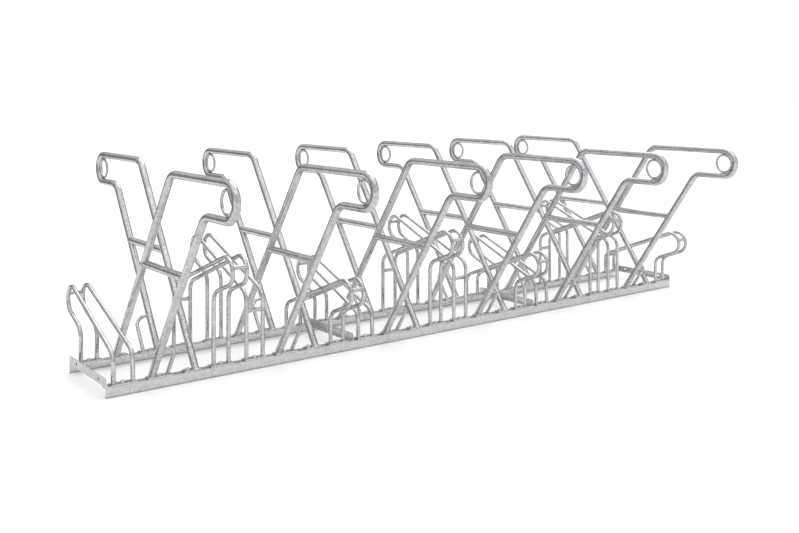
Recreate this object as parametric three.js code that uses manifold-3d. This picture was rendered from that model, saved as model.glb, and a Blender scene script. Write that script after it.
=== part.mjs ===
// A two tier bike rack: two angle rails on the ground, four cross members between them,
// and twelve places in a row, six facing the back and six facing the front.
// A place has a tall leaning frame of bent tube with a lock ring in its nose,
// and a wheel holder of two bent rods. Holders alternate between a low and a high tier.
// Frames and holders stand on flat plates that are bolted to the rails.
// Sizes are in millimetres. X runs along the rails, the front is -Y and Z is up.
// The origin is on the ground under the middle of the rack.

import * as THREE from 'three';
import { mergeVertices } from 'three/addons/utils/BufferGeometryUtils.js';
import Module from 'manifold-3d';

const wasm = await Module();
wasm.setup();

// Whole rack
const BAY_COUNT = 6;
const BAY_LENGTH = 500; // stretch of rail that one place to the back and one to the front share
const RACK_HEIGHT = 761;
const RACK_DEPTH = 1596;
const BASE_DEPTH = 364; // over the outer faces of the two rails
const WELD_GAP = 0.3; // room left between two welded pieces where a round one meets the other
const CUT_OVERRUN = 20; // how far a cutting shape runs past what it cuts

// Rails
const RAIL_LEG = 35;
const RAIL_WALL = 4;
const RAIL_ROOT_RADIUS = 5;
const RAIL_END_INSET = 3; // each rail end stops this far short of its bay's end
const RAIL_LENGTH = BAY_COUNT * BAY_LENGTH - 2 * RAIL_END_INSET;
const RAIL_FACE_Y = BASE_DEPTH / 2;
const RAIL_TOP_Z = RAIL_LEG;
const FLANGE_MIDDLE_Y = RAIL_FACE_Y - RAIL_LEG / 2;

// Foot plates on the rails' flanges
const PLATE_THICKNESS = 5;
const PLATE_WIDTH = 32; // across the rail
const PLATE_MARGIN = 17.5; // from the middle of a leg, brace or bolt to the end of a frame's plate
const HOLDER_PLATE_LENGTH = 92;
const PLATE_TOP_Z = RAIL_TOP_Z + PLATE_THICKNESS;
const FOOT_DEPTH = 0.5; // how far a welded foot is let into its plate

// Cross members
const MEMBER_HEIGHT = 30;
const MEMBER_PLATE_CLEARANCE = 1; // from the level leg to the nearest foot plate
const MEMBER_WALL = 3;
const MEMBER_ROOT_RADIUS = 3;
const MEMBER_CORNER_RADIUS = 9; // of the upright leg's upper corners
const MEMBER_BAYS = 2; // bays from one cross member to the next
const MEMBER_HOLE_DIAMETER = 11;
const MEMBER_HOLE_SPACING = 218;

// Leaning frames
const TUBE_DIAMETER = 26.9;
const TUBE_RADIUS = TUBE_DIAMETER / 2;
const FRAME_OFFSET = 81.5; // from the bay's middle to the frame
const FRAME_LEAN = THREE.MathUtils.degToRad(34.85);
const FRAME_NOSE_RADIUS = 57;
const FRAME_BEND_RADIUS = 63;
const RUNG_HEIGHT = 420.6;

// Lock rings
const RING_BAR_DIAMETER = 10;

// Braces
const BRACE_DIAMETER = 14;
const BRACE_OFFSET = 57; // from the frame's middle plane to the brace's foot
const BRACE_BEND_RADIUS = 42;
const BRACE_BEND_HEIGHT = 118; // where the brace starts to turn over to the leg

// Wheel holders
const ROD_DIAMETER = 16;
const ROD_RADIUS = ROD_DIAMETER / 2;
const HOLDER_TO_BAY_END = 68;
const HOLDER_OFFSET = BAY_LENGTH / 2 - HOLDER_TO_BAY_END; // from the bay's middle
const HOLDER_FAR_GAP = 68; // between the two rods' far posts
const HOLDER_NEAR_GAP = 59; // between the two rods' near posts
const HOLDER_CLIMB = THREE.MathUtils.degToRad(21);
const HOLDER_OVERHANG = 134; // from the rail's outer face to the front of the holder's nose
const HOLDER_LOW_TOP = 304;
const HOLDER_TIER_STEP = 141.5;
const HOLDER_NOSE_RADIUS = 50;
const HOLDER_BEND_RADIUS = 50;
const LINK_DIAMETER = 16;
const NOSE_LINK_ANGLE = THREE.MathUtils.degToRad(23); // above level, seen from the nose's centre
const POST_LINK_DROP = 30; // from the far post's bend down to the link

// Facets of the round pieces
const TUBE_SIDES = 8;
const ROD_SIDES = 8;
const HOLE_STEPS = 3; // in each quarter of a hole
const CORNER_STEPS = 3;
const ROOT_STEPS = 3;
const NOSE_STEPS = 6; // along a half turn, and half as many pieces as a lock ring has
const BEND_STEPS = 4;

// Places worked out from the sizes above
const FRAME_TOP_Z = RACK_HEIGHT - TUBE_RADIUS;
const FRAME_LOWER_Z = FRAME_TOP_Z - 2 * FRAME_NOSE_RADIUS;
const FRAME_NOSE_Y = RACK_DEPTH / 2 - TUBE_RADIUS - FRAME_NOSE_RADIUS;
const LONG_FOOT_Y = -FLANGE_MIDDLE_Y;
const SHORT_FOOT_Y = FLANGE_MIDDLE_Y;
const HOLDER_POST_Y = FLANGE_MIDDLE_Y;
const HOLDER_NOSE_Y = RAIL_FACE_Y + HOLDER_OVERHANG - ROD_RADIUS - HOLDER_NOSE_RADIUS;
const MEMBER_FOOT =
  HOLDER_TO_BAY_END - RAIL_END_INSET - HOLDER_PLATE_LENGTH / 2 - MEMBER_PLATE_CLEARANCE;

// Materials

const galvanised = new THREE.MeshStandardMaterial({ color: 0xb9bcbe, roughness: 0.5, metalness: 0.75 });
const galvanisedTube = new THREE.MeshStandardMaterial({ color: 0xc6cacd, roughness: 0.42, metalness: 0.8 });
const galvanisedRod = new THREE.MeshStandardMaterial({ color: 0xb4b7b9, roughness: 0.48, metalness: 0.8 });

// Centrelines, in a plane of constant X, with y towards the nose

// A ring of a sweep: the point of the centreline and the way that it heads there
function station(y, z, heading) {
  return {
    place: new THREE.Vector3(0, y, z),
    heading: new THREE.Vector3(0, Math.cos(heading), Math.sin(heading)),
  };
}

// Stations round a bend that turns clockwise, seen with y to the right and z up
function bend(centreY, centreZ, radius, startHeading, endHeading, steps) {
  const stations = [];
  for (let step = 0; step <= steps; step += 1) {
    const heading = THREE.MathUtils.lerp(startHeading, endHeading, step / steps);
    const y = centreY - radius * Math.sin(heading);
    const z = centreZ + radius * Math.cos(heading);
    stations.push(station(y, z, heading));
  }
  return stations;
}

// Stations round the bend at a corner, where two straight stretches would meet
function corner(y, z, radius, startHeading, endHeading, steps) {
  const halfTurn = (startHeading - endHeading) / 2;
  const toCentre = (startHeading + endHeading) / 2 - Math.PI / 2;
  const distance = radius / Math.cos(halfTurn);
  const centreY = y + distance * Math.cos(toCentre);
  const centreZ = z + distance * Math.sin(toCentre);
  return bend(centreY, centreZ, radius, startHeading, endHeading, steps);
}

// The same for a bend that turns the other way
function counterCorner(y, z, radius, startHeading, endHeading, steps) {
  const halfTurn = (endHeading - startHeading) / 2;
  const toCentre = (startHeading + endHeading) / 2 + Math.PI / 2;
  const distance = radius / Math.cos(halfTurn);
  const centreY = y + distance * Math.cos(toCentre);
  const centreZ = z + distance * Math.sin(toCentre);
  return bend(centreY, centreZ, -radius, startHeading, endHeading, steps);
}

// A curve that hands its stations to the extrusion one by one
class Centreline extends THREE.Curve {
  constructor(stations) {
    super();
    this.stations = stations;
  }

  nearest(share) {
    return this.stations[Math.round(share * (this.stations.length - 1))];
  }

  getPointAt(share, target = new THREE.Vector3()) {
    return target.copy(this.nearest(share).place);
  }

  getTangentAt(share, target = new THREE.Vector3()) {
    return target.copy(this.nearest(share).heading);
  }
}

// A round section as a shape with the given number of sides
function roundSection(radius, sides) {
  const points = [];
  for (let side = 0; side < sides; side += 1) {
    const angle = (side / sides) * 2 * Math.PI;
    points.push(new THREE.Vector2(radius * Math.cos(angle), radius * Math.sin(angle)));
  }
  return new THREE.Shape(points);
}

// A bar of round section along its stations
function sweep(stations, diameter, sides) {
  return new THREE.ExtrudeGeometry(roundSection(diameter / 2, sides), {
    steps: stations.length - 1,
    extrudePath: new Centreline(stations),
  });
}

// Solids for cutting and joining

function toSolid(geometry) {
  const bare = geometry.clone();
  bare.deleteAttribute('normal');
  bare.deleteAttribute('uv');
  const merged = mergeVertices(bare);
  return new wasm.Manifold(new wasm.Mesh({
    numProp: 3,
    vertProperties: Float32Array.from(merged.attributes.position.array),
    triVerts: Uint32Array.from(merged.index.array),
  }));
}

function toGeometry(solid) {
  const mesh = solid.getMesh();
  const geometry = new THREE.BufferGeometry();
  geometry.setAttribute('position', new THREE.BufferAttribute(mesh.vertProperties, 3));
  geometry.setIndex(new THREE.BufferAttribute(mesh.triVerts, 1));
  geometry.computeVertexNormals();
  return geometry;
}

function cut(geometry, ...cutters) {
  let solid = toSolid(geometry);
  for (const cutter of cutters) {
    solid = solid.subtract(toSolid(cutter));
  }
  return toGeometry(solid);
}

// Welded pieces that run into each other, as one body
function weld(geometry, ...others) {
  let solid = toSolid(geometry);
  for (const other of others) {
    solid = solid.add(toSolid(other));
  }
  return toGeometry(solid);
}

function common(geometry, other) {
  return toGeometry(toSolid(geometry).intersect(toSolid(other)));
}

// A block over all of a place up to where welded feet end
function groundBlock() {
  const height = PLATE_TOP_Z - FOOT_DEPTH;
  return new THREE.BoxGeometry(BAY_LENGTH, RACK_DEPTH, height).translate(0, 0, height / 2);
}

// A foot plate on the flange at y, from one X to another
function plateGeometry(fromX, toX, y) {
  const plate = new THREE.BoxGeometry(toX - fromX, PLATE_WIDTH, PLATE_THICKNESS);
  return plate.translate((fromX + toX) / 2, y, RAIL_TOP_Z + PLATE_THICKNESS / 2);
}

// Angle steel: the upright leg's outer face at 0, the level leg's outer face at the corner

function angleShape(uprightLeg, levelLeg, wall, rootRadius) {
  const shape = new THREE.Shape();
  shape.moveTo(0, 0);
  shape.lineTo(levelLeg, 0);
  shape.lineTo(levelLeg, wall);
  shape.lineTo(wall + rootRadius, wall);
  shape.absarc(wall + rootRadius, wall + rootRadius, rootRadius, -Math.PI / 2, -Math.PI, true);
  shape.lineTo(wall, uprightLeg);
  shape.lineTo(0, uprightLeg);
  shape.closePath();
  return shape;
}

function angleBar(uprightLeg, levelLeg, wall, rootRadius, length) {
  const shape = angleShape(uprightLeg, levelLeg, wall, rootRadius);
  const bar = new THREE.ExtrudeGeometry(shape, {
    depth: length,
    bevelEnabled: false,
    curveSegments: ROOT_STEPS,
  });
  return bar.translate(0, 0, -length / 2);
}

// Rail: the level leg on top, pointing to the rack's middle. Made for the back.
function railGeometry() {
  const bar = angleBar(RAIL_LEG, RAIL_LEG, RAIL_WALL, RAIL_ROOT_RADIUS, RAIL_LENGTH);
  const toPlace = new THREE.Matrix4().makeBasis(
    new THREE.Vector3(0, -1, 0),
    new THREE.Vector3(0, 0, -1),
    new THREE.Vector3(1, 0, 0),
  );
  toPlace.setPosition(0, RAIL_FACE_Y, RAIL_TOP_Z);
  return bar.applyMatrix4(toPlace);
}

// A cross member's upright leg in side view, with its round upper corners
function memberOutline() {
  const end = BASE_DEPTH / 2;
  const radius = MEMBER_CORNER_RADIUS;
  const outline = new THREE.Shape();
  outline.moveTo(-end, 0);
  outline.lineTo(end, 0);
  outline.absarc(end - radius, MEMBER_HEIGHT - radius, radius, 0, Math.PI / 2, false);
  outline.absarc(radius - end, MEMBER_HEIGHT - radius, radius, Math.PI / 2, Math.PI, false);
  outline.closePath();
  return outline;
}

function memberHole(side) {
  const hole = new THREE.Shape();
  hole.absarc((side * MEMBER_HOLE_SPACING) / 2, MEMBER_HEIGHT / 2, MEMBER_HOLE_DIAMETER / 2, 0, 2 * Math.PI);
  return hole;
}

// A cutting shape: an outline in side view, drawn out along X past both faces of a cross member
function throughMember(outline, curveSegments) {
  const depth = MEMBER_FOOT + 2 * CUT_OVERRUN;
  const shape = new THREE.ExtrudeGeometry(outline, { depth, bevelEnabled: false, curveSegments });
  const toPlace = new THREE.Matrix4().makeBasis(
    new THREE.Vector3(0, 1, 0),
    new THREE.Vector3(0, 0, 1),
    new THREE.Vector3(1, 0, 0),
  );
  toPlace.setPosition(-CUT_OVERRUN, 0, RAIL_TOP_Z);
  return shape.applyMatrix4(toPlace);
}

// Cross member: the upright leg's outer face at x = 0, the level leg on the rails towards +X
function memberGeometry() {
  const bar = angleBar(MEMBER_HEIGHT, MEMBER_FOOT, MEMBER_WALL, MEMBER_ROOT_RADIUS, BASE_DEPTH);
  const toPlace = new THREE.Matrix4().makeBasis(
    new THREE.Vector3(1, 0, 0),
    new THREE.Vector3(0, 0, 1),
    new THREE.Vector3(0, -1, 0),
  );
  toPlace.setPosition(0, 0, RAIL_TOP_Z);
  const rounded = common(bar.applyMatrix4(toPlace), throughMember(memberOutline(), CORNER_STEPS));
  const drills = [-1, 1].map((side) => throughMember(memberHole(side), 4 * HOLE_STEPS));
  return cut(rounded, ...drills);
}

// Leaning frame

const LEG_HEADING = Math.PI / 2 - FRAME_LEAN;

// Where a leg's centreline is at a height, given where it meets its plate's top
function legY(footY, z) {
  return footY + (z - PLATE_TOP_Z) * Math.tan(FRAME_LEAN);
}

function frameStations() {
  const startZ = PLATE_TOP_Z - TUBE_RADIUS;
  const down = LEG_HEADING - Math.PI;
  const bendOver = corner(
    legY(LONG_FOOT_Y, FRAME_TOP_Z), FRAME_TOP_Z, FRAME_BEND_RADIUS, LEG_HEADING, 0, BEND_STEPS,
  );
  const nose = bend(
    FRAME_NOSE_Y, FRAME_TOP_Z - FRAME_NOSE_RADIUS, FRAME_NOSE_RADIUS, 0, -Math.PI, NOSE_STEPS,
  );
  const bendDown = counterCorner(
    legY(SHORT_FOOT_Y, FRAME_LOWER_Z), FRAME_LOWER_Z, FRAME_BEND_RADIUS, -Math.PI, down, BEND_STEPS,
  );
  return [
    station(legY(LONG_FOOT_Y, startZ), startZ, LEG_HEADING),
    ...bendOver,
    ...nose,
    ...bendDown,
    station(legY(SHORT_FOOT_Y, startZ), startZ, down),
  ];
}

// Rung: a level tube from leg to leg
function rungGeometry() {
  const stations = [
    station(legY(LONG_FOOT_Y, RUNG_HEIGHT), RUNG_HEIGHT, 0),
    station(legY(SHORT_FOOT_Y, RUNG_HEIGHT), RUNG_HEIGHT, 0),
  ];
  return sweep(stations, TUBE_DIAMETER, TUBE_SIDES);
}

// Brace: rises beside the short leg and parallel to it, then turns over to it.
// It is drawn flat, with y towards the leg and z along it, and tilted into the leg's plane.
function braceGeometry() {
  const rise = (BRACE_BEND_HEIGHT - PLATE_TOP_Z) / Math.cos(FRAME_LEAN);
  const bendMiddle = BRACE_BEND_RADIUS - BRACE_OFFSET;
  const stations = [
    station(-BRACE_OFFSET, -BRACE_DIAMETER, Math.PI / 2),
    ...bend(bendMiddle, rise, BRACE_BEND_RADIUS, Math.PI / 2, 0, BEND_STEPS),
    station(0, rise + BRACE_BEND_RADIUS, 0),
  ];
  const toPlace = new THREE.Matrix4().makeBasis(
    new THREE.Vector3(0, -Math.cos(FRAME_LEAN), Math.sin(FRAME_LEAN)),
    new THREE.Vector3(1, 0, 0),
    new THREE.Vector3(0, Math.sin(FRAME_LEAN), Math.cos(FRAME_LEAN)),
  );
  toPlace.setPosition(0, SHORT_FOOT_Y, PLATE_TOP_Z);
  return sweep(stations, BRACE_DIAMETER, ROD_SIDES).applyMatrix4(toPlace);
}

// The bent tube with its rung and brace welded in, cut off level and welded to its plates.
// The short leg's plate carries the brace too, with a bolt halfway between them,
// and the long leg's plate has its bolt at the same distance from the leg.
function frameGeometry() {
  const bentTube = sweep(frameStations(), TUBE_DIAMETER, TUBE_SIDES);
  const standing = cut(weld(bentTube, rungGeometry(), braceGeometry()), groundBlock());
  const longPlate = plateGeometry(-BRACE_OFFSET / 2 - PLATE_MARGIN, PLATE_MARGIN, LONG_FOOT_Y);
  const shortPlate = plateGeometry(-BRACE_OFFSET - PLATE_MARGIN, PLATE_MARGIN, SHORT_FOOT_Y);
  return weld(standing, longPlate, shortPlate);
}

// Lock ring: a closed ring of round bar that lies inside the nose
function ringGeometry() {
  const outerRadius = FRAME_NOSE_RADIUS - TUBE_RADIUS - WELD_GAP;
  const barRadius = RING_BAR_DIAMETER / 2;
  const ring = new THREE.TorusGeometry(outerRadius - barRadius, barRadius, ROD_SIDES, 2 * NOSE_STEPS);
  ring.rotateY(Math.PI / 2);
  return ring.translate(0, FRAME_NOSE_Y, FRAME_TOP_Z - FRAME_NOSE_RADIUS);
}

// Wheel holder

// Height of the nose's centre on the low or the high tier
function holderNoseZ(high) {
  const top = HOLDER_LOW_TOP + (high ? HOLDER_TIER_STEP : 0);
  return top - ROD_RADIUS - HOLDER_NOSE_RADIUS;
}

// Height of a climbing stretch over a post, above or below the nose's centre
function climbZ(noseZ, postY, side) {
  const overCentre = (side * HOLDER_NOSE_RADIUS) / Math.cos(HOLDER_CLIMB);
  return noseZ + overCentre + (postY - HOLDER_NOSE_Y) * Math.tan(HOLDER_CLIMB);
}

// Stations of a rod whose two feet end at a height
function rodStations(high, footZ) {
  const noseZ = holderNoseZ(high);
  const back = HOLDER_CLIMB - Math.PI;
  const farTopZ = climbZ(noseZ, -HOLDER_POST_Y, 1);
  const nearTopZ = climbZ(noseZ, HOLDER_POST_Y, -1);
  return [
    station(-HOLDER_POST_Y, footZ, Math.PI / 2),
    ...corner(-HOLDER_POST_Y, farTopZ, HOLDER_BEND_RADIUS, Math.PI / 2, HOLDER_CLIMB, BEND_STEPS),
    ...bend(HOLDER_NOSE_Y, noseZ, HOLDER_NOSE_RADIUS, HOLDER_CLIMB, back, NOSE_STEPS),
    ...counterCorner(HOLDER_POST_Y, nearTopZ, HOLDER_BEND_RADIUS, back, -Math.PI / 2, BEND_STEPS),
    station(HOLDER_POST_Y, footZ, -Math.PI / 2),
  ];
}

// The two rods come closer to each other towards the nose
const ROD_MIDDLE_GAP = (HOLDER_FAR_GAP + HOLDER_NEAR_GAP) / 2;
const ROD_TOE_IN = Math.atan((HOLDER_FAR_GAP - HOLDER_NEAR_GAP) / 2 / (2 * HOLDER_POST_Y));

function rodGapAt(y) {
  return ROD_MIDDLE_GAP - 2 * y * Math.tan(ROD_TOE_IN);
}

// One rod, on the given hand of the holder's middle plane
function rodGeometry(high, hand, footZ) {
  const rod = sweep(rodStations(high, footZ), ROD_DIAMETER, ROD_SIDES);
  rod.rotateZ(hand * ROD_TOE_IN);
  return rod.translate((hand * ROD_MIDDLE_GAP) / 2, 0, 0);
}

// Link: a short level bar between two places across the holder
function linkGeometry(fromX, toX, y, z) {
  const length = toX - fromX;
  const bar = new THREE.CylinderGeometry(LINK_DIAMETER / 2, LINK_DIAMETER / 2, length, TUBE_SIDES);
  bar.rotateZ(Math.PI / 2);
  return bar.translate((fromX + toX) / 2, y, z);
}

// The right rod stands on the plates
function rightRodGeometry(high) {
  return rodGeometry(high, 1, PLATE_TOP_Z);
}

// The left rod, with both plates and with the link that reaches over to the right rod at the nose
function leftRodGeometry(high) {
  const y = HOLDER_NOSE_Y + HOLDER_NOSE_RADIUS * Math.cos(NOSE_LINK_ANGLE);
  const z = holderNoseZ(high) + HOLDER_NOSE_RADIUS * Math.sin(NOSE_LINK_ANGLE);
  const toRod = rodGapAt(y) / 2;
  const link = linkGeometry(-toRod, toRod - ROD_RADIUS - WELD_GAP, y, z);
  const plates = [-1, 1].map((side) => plateGeometry(
    -HOLDER_PLATE_LENGTH / 2, HOLDER_PLATE_LENGTH / 2, side * HOLDER_POST_Y,
  ));
  return weld(rodGeometry(high, -1, PLATE_TOP_Z - FOOT_DEPTH), link, ...plates);
}

// The link between the far posts of a high holder
function postLinkGeometry() {
  const halfLength = HOLDER_FAR_GAP / 2 - ROD_RADIUS - WELD_GAP;
  const farTopZ = climbZ(holderNoseZ(true), -HOLDER_POST_Y, 1);
  const bendLength = HOLDER_BEND_RADIUS * Math.tan((Math.PI / 2 - HOLDER_CLIMB) / 2);
  return linkGeometry(-halfLength, halfLength, -HOLDER_POST_Y, farTopZ - bendLength - POST_LINK_DROP);
}

// Places

// Twelve places: two to a bay, turned back to back, on alternating tiers
function listPlaces() {
  const places = [];
  for (const side of ['back', 'front']) {
    for (let bay = 0; bay < BAY_COUNT; bay += 1) {
      const toPlace = new THREE.Matrix4().makeRotationZ(side === 'back' ? 0 : Math.PI);
      toPlace.setPosition((bay - (BAY_COUNT - 1) / 2) * BAY_LENGTH, 0, 0);
      const high = side === 'back' ? bay % 2 === 1 : bay % 2 === 0;
      places.push({ label: `${side}_${bay + 1}`, high, toPlace });
    }
  }
  return places;
}

const rack = new THREE.Group();

function addPiece(name, geometry, material, toPlace = new THREE.Matrix4()) {
  const mesh = new THREE.Mesh(geometry, material);
  mesh.name = name;
  mesh.applyMatrix4(toPlace);
  rack.add(mesh);
  return mesh;
}

function addRails() {
  const halfTurn = new THREE.Matrix4().makeRotationZ(Math.PI);
  addPiece('rail_back', railGeometry(), galvanised);
  addPiece('rail_front', railGeometry(), galvanised, halfTurn);
}

// The first cross member turns its level leg inward, and so do all the others from their side
function addMembers() {
  const count = BAY_COUNT / MEMBER_BAYS + 1;
  for (let index = 0; index < count; index += 1) {
    const first = index === 0;
    const last = index === count - 1;
    const bayEnd = (index * MEMBER_BAYS - BAY_COUNT / 2) * BAY_LENGTH;
    const inset = (first ? RAIL_END_INSET : 0) - (last ? RAIL_END_INSET : 0);
    const toPlace = new THREE.Matrix4().makeRotationZ(first ? 0 : Math.PI);
    toPlace.setPosition(bayEnd + inset, 0, 0);
    addPiece(`cross_member_${index + 1}`, memberGeometry(), galvanised, toPlace);
  }
}

function addFrame({ label, toPlace }) {
  const toFrame = toPlace.clone().multiply(new THREE.Matrix4().makeTranslation(FRAME_OFFSET, 0, 0));
  addPiece(`lean_frame_${label}`, frameGeometry(), galvanisedTube, toFrame);
  addPiece(`lock_ring_${label}`, ringGeometry(), galvanisedRod, toFrame);
}

function addHolder({ label, high, toPlace }) {
  const toHolder = toPlace.clone().multiply(new THREE.Matrix4().makeTranslation(-HOLDER_OFFSET, 0, 0));
  addPiece(`wheel_rod_${label}_left`, leftRodGeometry(high), galvanisedRod, toHolder);
  addPiece(`wheel_rod_${label}_right`, rightRodGeometry(high), galvanisedRod, toHolder);
  if (high) addPiece(`post_link_${label}`, postLinkGeometry(), galvanisedRod, toHolder);
}

addRails();
addMembers();
for (const place of listPlaces()) {
  addFrame(place);
  addHolder(place);
}

export default rack;
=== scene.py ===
# A galvanised two tier bike rack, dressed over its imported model.
# Lengths are in metres and angles in radians. X runs along the rails, the front is -Y and Z is up.
# The origin is on the ground under the middle of the rack.

import math

import bpy
from mathutils import Matrix, Vector


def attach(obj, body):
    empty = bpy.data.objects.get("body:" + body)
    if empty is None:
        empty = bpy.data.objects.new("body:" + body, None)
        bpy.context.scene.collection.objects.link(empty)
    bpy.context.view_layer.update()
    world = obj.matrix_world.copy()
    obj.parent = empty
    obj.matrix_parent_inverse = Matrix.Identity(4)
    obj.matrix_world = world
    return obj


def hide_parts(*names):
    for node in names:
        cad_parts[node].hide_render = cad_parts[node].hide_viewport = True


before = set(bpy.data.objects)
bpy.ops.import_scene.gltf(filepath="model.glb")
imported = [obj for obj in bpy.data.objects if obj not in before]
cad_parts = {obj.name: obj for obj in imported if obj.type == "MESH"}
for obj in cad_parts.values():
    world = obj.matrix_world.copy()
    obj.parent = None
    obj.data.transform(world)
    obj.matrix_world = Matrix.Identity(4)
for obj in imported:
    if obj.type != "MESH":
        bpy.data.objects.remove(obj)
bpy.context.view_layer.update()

BODY = "root"
MM = 0.001

# Whole rack
BAY_COUNT = 6
BAY_LENGTH = 500 * MM
RACK_HEIGHT = 761 * MM
RACK_DEPTH = 1596 * MM
BASE_DEPTH = 364 * MM

# Rails
RAIL_LEG = 35 * MM
RAIL_WALL = 4 * MM
RAIL_ROOT_RADIUS = 5 * MM
RAIL_TOE_RADIUS = 2.5 * MM
RAIL_END_INSET = 3 * MM
RAIL_LENGTH = BAY_COUNT * BAY_LENGTH - 2 * RAIL_END_INSET
RAIL_FACE_Y = BASE_DEPTH / 2
RAIL_TOP_Z = RAIL_LEG
FLANGE_MIDDLE_Y = RAIL_FACE_Y - RAIL_LEG / 2

# Foot plates on the rails' flanges
PLATE_THICKNESS = 5 * MM
PLATE_WIDTH = 32 * MM
PLATE_MARGIN = 17.5 * MM  # from the middle of a leg, brace or bolt to the end of a frame's plate
HOLDER_PLATE_LENGTH = 92 * MM
PLATE_TOP_Z = RAIL_TOP_Z + PLATE_THICKNESS

# Bolts through the plates
BOLT_RADIUS = 5 * MM
BOLT_FLATS = 16 * MM
BOLT_HEAD_HEIGHT = 6.4 * MM
BOLT_CHAMFER = 1.2 * MM
NUT_HEIGHT = 8.4 * MM
THREAD_PITCH = 1.5 * MM
THREAD_DEPTH = 0.7 * MM
THREAD_TURNS = 3  # that stand out under the nut

# Cross members
MEMBER_HEIGHT = 30 * MM
MEMBER_FOOT = 18 * MM
MEMBER_WALL = 3 * MM
MEMBER_ROOT_RADIUS = 3 * MM
MEMBER_TOE_RADIUS = 1.2 * MM
MEMBER_CORNER_RADIUS = 9 * MM
MEMBER_BAYS = 2
MEMBER_HOLE_RADIUS = 5.5 * MM
MEMBER_HOLE_SPACING = 218 * MM
BORE_MARGIN = 0.1 * MM
EDGE_WEAR = 0.7 * MM  # width of the softened edges of the angle steel
CUT_REACH = 40 * MM  # of a cutting shape to either side of the member that it cuts

# Leaning frames
TUBE_RADIUS = 13.45 * MM
FRAME_OFFSET = 81.5 * MM
FRAME_LEAN = math.radians(34.85)
FRAME_NOSE_RADIUS = 57 * MM
FRAME_BEND_RADIUS = 63 * MM
RUNG_HEIGHT = 420.6 * MM

# Lock rings
RING_BAR_RADIUS = 5 * MM
RING_GAP = 0.3 * MM
RING_WELD_ANGLES = (-62, 0, 62)  # degrees from level, seen from the ring's centre
RING_WELD_SPAN = 28  # degrees that a weld runs along the ring
RING_WELD_STEPS = 8
RING_WELD_OFFSET = 2.2 * MM  # of a weld from the ring's middle plane, on either side

# Braces
BRACE_RADIUS = 7 * MM
BRACE_OFFSET = 57 * MM
BRACE_BEND_RADIUS = 42 * MM
BRACE_BEND_HEIGHT = 118 * MM

# Wheel holders
ROD_RADIUS = 8 * MM
HOLDER_OFFSET = 182 * MM
HOLDER_FAR_GAP = 68 * MM
HOLDER_NEAR_GAP = 59 * MM
HOLDER_CLIMB = math.radians(21)
HOLDER_OVERHANG = 134 * MM
HOLDER_LOW_TOP = 304 * MM
HOLDER_TIER_STEP = 141.5 * MM
HOLDER_NOSE_RADIUS = 50 * MM
HOLDER_BEND_RADIUS = 50 * MM
LINK_RADIUS = 8 * MM
NOSE_LINK_ANGLE = math.radians(23)
POST_LINK_DROP = 30 * MM

# Weld beads
TUBE_BEAD = 2.6 * MM
ROD_BEAD = 2.2 * MM
SMALL_BEAD = 1.7 * MM
RIPPLE_SHARE = 0.16  # how much a bead swells and shrinks, as a share of its radius
RIPPLE_LENGTH = 5 * MM

# Facets
TUBE_SIDES = 32
ROD_SIDES = 20
RING_SIDES = 16
BOLT_SIDES = 24
BEAD_SIDES = 8
BEAD_STEPS = 48
HOLE_SIDES = 32
TOE_STEPS = 4
ROOT_STEPS = 6
CORNER_STEPS = 6
EDGE_WEAR_STEPS = 2
TURN_STEP = math.radians(5)  # longest turn between two stations of a bend
SHARP_ANGLE = math.radians(35)  # an edge that turns further than this is shaded sharp
EDGE_WEAR_ANGLE = math.radians(50)  # an edge that turns further than this is softened
STEEP_HEADING = 0.8  # the z of a bead's heading from which it counts as upright

# Places worked out from the sizes above
FRAME_TOP_Z = RACK_HEIGHT - TUBE_RADIUS
FRAME_LOWER_Z = FRAME_TOP_Z - 2 * FRAME_NOSE_RADIUS
FRAME_NOSE_Y = RACK_DEPTH / 2 - TUBE_RADIUS - FRAME_NOSE_RADIUS
FRAME_NOSE_Z = FRAME_TOP_Z - FRAME_NOSE_RADIUS
LONG_FOOT_Y = -FLANGE_MIDDLE_Y
SHORT_FOOT_Y = FLANGE_MIDDLE_Y
LEG_HEADING = math.pi / 2 - FRAME_LEAN
HOLDER_POST_Y = FLANGE_MIDDLE_Y
HOLDER_NOSE_Y = RAIL_FACE_Y + HOLDER_OVERHANG - ROD_RADIUS - HOLDER_NOSE_RADIUS
ROD_MIDDLE_GAP = (HOLDER_FAR_GAP + HOLDER_NEAR_GAP) / 2
ROD_TOE_IN = math.atan((HOLDER_FAR_GAP - HOLDER_NEAR_GAP) / 2 / (2 * HOLDER_POST_Y))

# Camera
CAMERA_PLACE = (-2.6569, -3.3055, 1.0248)
CAMERA_YAW = 0.652
FOCAL_PIXELS = 960.69
PICTURE_WIDTH = 799
PICTURE_HEIGHT = 533
HORIZON_ROW = 90.09  # picture row that the level camera looks along
SENSOR_WIDTH = 36.0


# Objects and meshes

def add_object(name, data):
    item = bpy.data.objects.new(name, data)
    bpy.context.scene.collection.objects.link(item)
    return item


def new_mesh(name, points, faces):
    mesh = bpy.data.meshes.new(name)
    mesh.from_pydata(points, [], faces)
    return mesh


# Camera

def add_camera():
    data = bpy.data.cameras.new("camera")
    data.sensor_width = SENSOR_WIDTH
    data.lens = FOCAL_PIXELS / PICTURE_WIDTH * SENSOR_WIDTH
    data.shift_y = -(PICTURE_HEIGHT / 2 - HORIZON_ROW) / PICTURE_WIDTH
    camera = add_object("camera", data)
    camera.location = CAMERA_PLACE
    camera.rotation_euler = (math.pi / 2, 0, -CAMERA_YAW)
    bpy.context.scene.camera = camera


# Centrelines in a plane of constant X, with y towards the nose

def station(y, z, heading):
    return Vector((0, y, z)), Vector((0, math.cos(heading), math.sin(heading)))


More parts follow.
